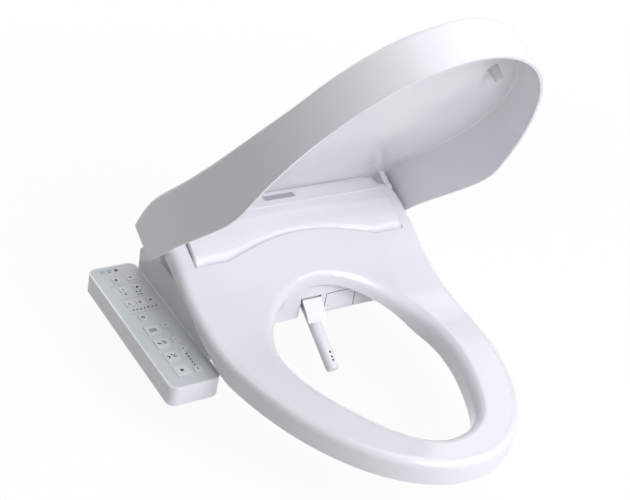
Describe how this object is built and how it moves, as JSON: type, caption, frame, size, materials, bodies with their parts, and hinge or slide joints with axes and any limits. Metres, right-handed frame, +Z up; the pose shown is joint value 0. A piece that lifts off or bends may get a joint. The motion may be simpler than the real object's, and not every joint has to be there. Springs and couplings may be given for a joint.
{
  "type": "electric bidet seat",
  "caption": "Electric bidet seat: hinged ring and deep lid on a body with a wave-shaped cover, a sloping spray wand and a side control panel with press keys.",
  "frame": {"origin": "midway between the two mounting bolts, on the resting face that lies on the bowl's rim", "axes": "+X to the right as a user stands in front, +Y to the back, +Z up; the bolts point down"},
  "size_m": [0.4455, 0.5361, 0.558],
  "materials": {
    "body": "white gloss moulding",
    "seat": "white gloss",
    "lid": "white gloss",
    "cover": "white gloss",
    "plate": "bare grey plate",
    "bracket": "moulded bracket",
    "steel": "plain",
    "nut": "hand nut",
    "brass_fitting": "turned",
    "rubber_part": "matt",
    "inner": "inner moulding",
    "motor": "can",
    "valve": "dark moulding",
    "circuit": "green board",
    "panel_shell": "white gloss",
    "overlay": "grey satin film",
    "lens": "clear lamp lens",
    "buffer": "soft white rubber",
    "lug": "grey moulding",
    "wand": "white",
    "gear": "nylon",
    "flap": "white",
    "key": "pale satin"
  },
  "bodies": {
    "base": {"base_housing": "body", "body_cover": "cover", "name_plate": "plate", "mounting_plate": "bracket", "mounting_bolt_left": "steel", "mounting_bolt_right": "steel", "mounting_nut_left": "nut", "mounting_nut_right": "nut", "water_inlet": "brass_fitting", "cord_gland": "rubber_part", "hinge_shaft_left": "steel", "hinge_shaft_right": "steel", "damper_left": "inner", "damper_right": "inner", "nozzle_cradle": "inner", "nozzle_motor": "motor", "heater_tank": "inner", "solenoid_valve": "valve", "main_board": "circuit", "panel_housing": "panel_shell", "panel_base": "body", "panel_board": "circuit", "panel_membrane": "overlay", "status_lens": "lens"},
    "seat": {"seat_top_shell": "seat", "seat_bottom_shell": "seat", "seat_knuckle_left": "seat", "seat_knuckle_right": "seat", "seat_bumper_front_left": "buffer", "seat_bumper_front_right": "buffer", "seat_bumper_rear_left": "buffer", "seat_bumper_rear_right": "buffer"},
    "lid": {"lid_shell": "lid", "lid_rim": "lid", "lid_lug_left": "lug", "lid_lug_right": "lug", "lid_bumper_left": "buffer", "lid_bumper_right": "buffer"},
    "wand": {"nozzle_wand": "wand", "nozzle_tip": "wand", "nozzle_rack": "gear"},
    "flap": {"nozzle_flap": "flap"},
    "pinion": {"drive_pinion": "gear"},
    "door": {"side_door": "flap"},
    "key_rear_wash": {"key_rear_wash": "key"},
    "key_front_wash": {"key_front_wash": "key"},
    "key_dry": {"key_dry": "key"},
    "key_stop": {"key_stop": "key"},
    "key_pressure_up": {"key_pressure_up": "key"},
    "key_pressure_down": {"key_pressure_down": "key"},
    "key_move": {"key_move": "key"},
    "key_child": {"key_child": "key"},
    "key_power": {"key_power": "key"},
    "key_seat_heat": {"key_seat_heat": "key"},
    "key_water_heat": {"key_water_heat": "key"},
    "key_air_heat": {"key_air_heat": "key"},
    "key_light": {"key_light": "key"},
    "key_deodorise": {"key_deodorise": "key"},
    "key_save": {"key_save": "key"},
    "key_clean": {"key_clean": "key"}
  },
  "joints": [
    {"name": "lid_hinge", "type": "hinge", "parent": "base", "child": "lid", "pos_m": [0, 0.024, 0.114], "axis": [-1, 0, 0], "range_deg": [-59.5, 50]},
    {"name": "seat_hinge", "type": "hinge", "parent": "base", "child": "seat", "pos_m": [0, 0.024, 0.114], "axis": [-1, 0, 0], "range_deg": [0, 50]},
    {"name": "wand_slide", "type": "slide", "parent": "base", "child": "wand", "axis": [0, -0.8387, -0.5446], "range_m": [-0.09, 0]},
    {"name": "pinion_spin", "type": "hinge", "parent": "base", "child": "pinion", "pos_m": [0.001, -0.03383, 0.02119], "axis": [1, 0, 0], "range_deg": [-737.66, 1]},
    {"name": "flap_hinge", "type": "hinge", "parent": "base", "child": "flap", "pos_m": [0.001, -0.0815, 0.0285], "axis": [-1, 0, 0], "range_deg": [0, 20]},
    {"name": "door_hinge", "type": "hinge", "parent": "base", "child": "door", "pos_m": [0.0505, -0.0791, 0.0291], "axis": [-1, 0, 0], "range_deg": [0, 75]},
    {"name": "key_rear_wash_press", "type": "slide", "parent": "base", "child": "key_rear_wash", "axis": [0, 0.0523, -0.9986], "range_m": [0, 0.0006], "stiffness_N_per_m": 400, "springref_m": -0.0005},
    {"name": "key_front_wash_press", "type": "slide", "parent": "base", "child": "key_front_wash", "axis": [0, 0.0523, -0.9986], "range_m": [0, 0.0006], "stiffness_N_per_m": 400, "springref_m": -0.0005},
    {"name": "key_dry_press", "type": "slide", "parent": "base", "child": "key_dry", "axis": [0, 0.0523, -0.9986], "range_m": [0, 0.0006], "stiffness_N_per_m": 400, "springref_m": -0.0005},
    {"name": "key_stop_press", "type": "slide", "parent": "base", "child": "key_stop", "axis": [0, 0.0523, -0.9986], "range_m": [0, 0.0006], "stiffness_N_per_m": 400, "springref_m": -0.0005},
    {"name": "key_pressure_up_press", "type": "slide", "parent": "base", "child": "key_pressure_up", "axis": [0, 0.0523, -0.9986], "range_m": [0, 0.0006], "stiffness_N_per_m": 400, "springref_m": -0.0005},
    {"name": "key_pressure_down_press", "type": "slide", "parent": "base", "child": "key_pressure_down", "axis": [0, 0.0523, -0.9986], "range_m": [0, 0.0006], "stiffness_N_per_m": 400, "springref_m": -0.0005},
    {"name": "key_move_press", "type": "slide", "parent": "base", "child": "key_move", "axis": [0, 0.0523, -0.9986], "range_m": [0, 0.0006], "stiffness_N_per_m": 400, "springref_m": -0.0005},
    {"name": "key_child_press", "type": "slide", "parent": "base", "child": "key_child", "axis": [0, 0.0523, -0.9986], "range_m": [0, 0.0006], "stiffness_N_per_m": 400, "springref_m": -0.0005},
    {"name": "key_power_press", "type": "slide", "parent": "base", "child": "key_power", "axis": [0, 0.0523, -0.9986], "range_m": [0, 0.0006], "stiffness_N_per_m": 400, "springref_m": -0.0005},
    {"name": "key_seat_heat_press", "type": "slide", "parent": "base", "child": "key_seat_heat", "axis": [0, 0.0523, -0.9986], "range_m": [0, 0.0006], "stiffness_N_per_m": 400, "springref_m": -0.0005},
    {"name": "key_water_heat_press", "type": "slide", "parent": "base", "child": "key_water_heat", "axis": [0, 0.0523, -0.9986], "range_m": [0, 0.0006], "stiffness_N_per_m": 400, "springref_m": -0.0005},
    {"name": "key_air_heat_press", "type": "slide", "parent": "base", "child": "key_air_heat", "axis": [0, 0.0523, -0.9986], "range_m": [0, 0.0006], "stiffness_N_per_m": 400, "springref_m": -0.0005},
    {"name": "key_light_press", "type": "slide", "parent": "base", "child": "key_light", "axis": [0, 0.0523, -0.9986], "range_m": [0, 0.0006], "stiffness_N_per_m": 400, "springref_m": -0.0005},
    {"name": "key_deodorise_press", "type": "slide", "parent": "base", "child": "key_deodorise", "axis": [0, 0.0523, -0.9986], "range_m": [0, 0.0006], "stiffness_N_per_m": 400, "springref_m": -0.0005},
    {"name": "key_save_press", "type": "slide", "parent": "base", "child": "key_save", "axis": [0, 0.0523, -0.9986], "range_m": [0, 0.0006], "stiffness_N_per_m": 400, "springref_m": -0.0005},
    {"name": "key_clean_press", "type": "slide", "parent": "base", "child": "key_clean", "axis": [0, 0.0523, -0.9986], "range_m": [0, 0.0006], "stiffness_N_per_m": 400, "springref_m": -0.0005}
  ],
  "couplings": [
    {"joint": "pinion_spin", "follows": "wand_slide", "rad_per_m": 142.86}
  ]
}
